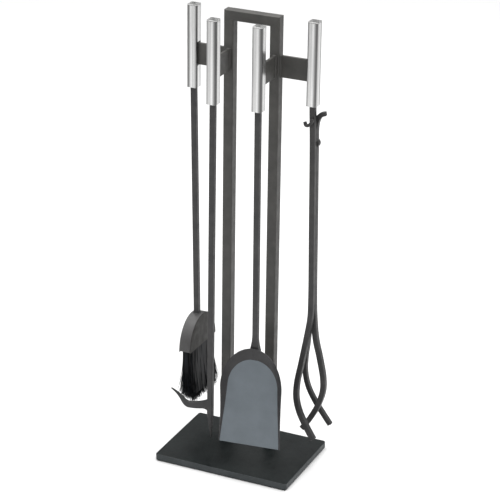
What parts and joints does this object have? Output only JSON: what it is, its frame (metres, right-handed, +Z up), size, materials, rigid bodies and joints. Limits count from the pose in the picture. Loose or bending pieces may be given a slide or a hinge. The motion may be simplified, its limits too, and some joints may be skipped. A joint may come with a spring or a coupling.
{
  "type": "fireplace tool set",
  "caption": "Fireplace tool set: black hooped floor stand on a flat base, with brush, poker, shovel and pivoting tongs hung by square steel handles.",
  "frame": {"origin": "on the floor, under the centre of the rectangular base", "axes": "+X to the side where the tongs hang, +Y to the back, away from the poker and the shovel, +Z up"},
  "size_m": [0.2755, 0.185, 0.813],
  "materials": {
    "powder_coat": "satin black powder coat",
    "forged_rod": "dark grey satin enamel on forged steel",
    "pan_enamel": "blue-grey satin enamel",
    "stainless": "brushed lengthwise",
    "zinc_steel": "zinc plated",
    "rubber_pad": "matte",
    "block_plastic": "matte",
    "bristle_fibre": "black synthetic fibres"
  },
  "bodies": {
    "stand": {"base_plate": "powder_coat", "top_bar": "powder_coat", "upright_left": "powder_coat", "upright_right": "powder_coat", "arm_brush": "powder_coat", "arm_tongs": "powder_coat", "arm_poker": "powder_coat", "arm_shovel": "powder_coat", "base_pad": "rubber_pad", "upright_plug_left": "zinc_steel", "upright_plug_right": "zinc_steel", "frame_bolt_left": "zinc_steel", "frame_bolt_right": "zinc_steel"},
    "brush": {"brush_handle": "stainless", "brush_handle_cap": "stainless", "brush_handle_socket": "zinc_steel", "brush_rod": "forged_rod", "brush_hood": "forged_rod", "brush_block": "block_plastic", "brush_bristles": "bristle_fibre", "brush_screw": "zinc_steel"},
    "poker": {"poker_handle": "stainless", "poker_handle_cap": "stainless", "poker_handle_socket": "zinc_steel", "poker_rod": "forged_rod", "poker_hook": "forged_rod"},
    "shovel": {"shovel_handle": "stainless", "shovel_handle_cap": "stainless", "shovel_handle_socket": "zinc_steel", "shovel_rod": "forged_rod", "shovel_bracket": "forged_rod", "shovel_pan": "pan_enamel"},
    "tongs": {"tongs_handle": "stainless", "tongs_handle_cap": "stainless", "tongs_handle_socket": "zinc_steel", "tongs_fixed_bar": "forged_rod", "tongs_rear_prong": "forged_rod", "tongs_finger_hook": "forged_rod", "tongs_pivot_rivet": "forged_rod", "tongs_pivot_washer": "forged_rod"},
    "tongs_jaw": {"tongs_swing_bar": "forged_rod"}
  },
  "joints": [
    {"name": "brush_lift_off", "type": "slide", "parent": "stand", "child": "brush", "axis": [-0.7071, 0, 0.7071], "range_m": [0, 0.06]},
    {"name": "poker_lift_off", "type": "slide", "parent": "stand", "child": "poker", "axis": [0, -0.7071, 0.7071], "range_m": [0, 0.06]},
    {"name": "shovel_lift_off", "type": "slide", "parent": "stand", "child": "shovel", "axis": [0, -0.7071, 0.7071], "range_m": [0, 0.06]},
    {"name": "tongs_lift_off", "type": "slide", "parent": "stand", "child": "tongs", "axis": [0.7071, 0, 0.7071], "range_m": [0, 0.06]},
    {"name": "tongs_jaw_pivot", "type": "hinge", "parent": "tongs", "child": "tongs_jaw", "pos_m": [0.1122, 0.0396, 0.5985], "axis": [0, -1, 0], "range_deg": [0, 14]}
  ]
}
